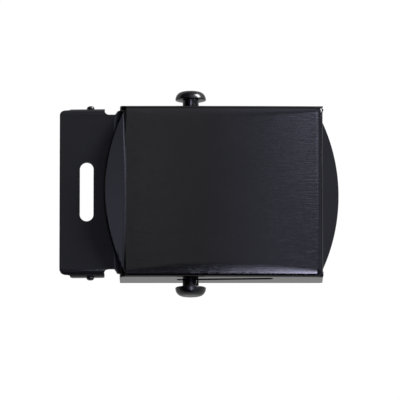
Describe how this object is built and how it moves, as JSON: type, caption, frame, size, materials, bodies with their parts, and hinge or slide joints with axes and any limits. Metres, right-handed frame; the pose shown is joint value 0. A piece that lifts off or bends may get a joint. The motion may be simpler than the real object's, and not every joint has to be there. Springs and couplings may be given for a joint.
{
  "type": "belt buckle",
  "caption": "Black sheet-metal web-belt buckle: solid pressed cover, inner frame with slotted belt-end seat, sliding knobbed roller bar and hinged toothed clamp.",
  "frame": {"origin": "centre of the bounding box in X and Y, at the back edges of the cover's walls, which the buckle rests on", "axes": "+X from the belt-end seat towards the mouth the belt tip enters, +Y along the roller bar towards the upper knob, +Z out of the face"},
  "size_m": [0.0574, 0.0428, 0.0101],
  "materials": {
    "black_lacquered_sheet": "gloss black lacquer over brushed sheet",
    "black_plated_turned": "gloss black over turned metal",
    "black_plated_clamp": "satin black over stamped sheet"
  },
  "bodies": {
    "case": {"front_cover": "black_lacquered_sheet", "inner_frame": "black_lacquered_sheet", "hinge_pin_upper": "black_plated_turned", "hinge_pin_lower": "black_plated_turned"},
    "roller": {"roller_bar": "black_plated_turned", "knob_upper": "black_plated_turned", "knob_lower": "black_plated_turned"},
    "clamp": {"belt_clamp": "black_plated_clamp"}
  },
  "joints": [
    {"name": "roller_slide", "type": "slide", "parent": "case", "child": "roller", "axis": [0.9977, 0, 0.068], "range_m": [-0.00185, 0.016]},
    {"name": "clamp_hinge", "type": "hinge", "parent": "case", "child": "clamp", "pos_m": [-0.02237, 0, 0.0054], "axis": [0, -1, 0], "range_deg": [0, 105]}
  ]
}
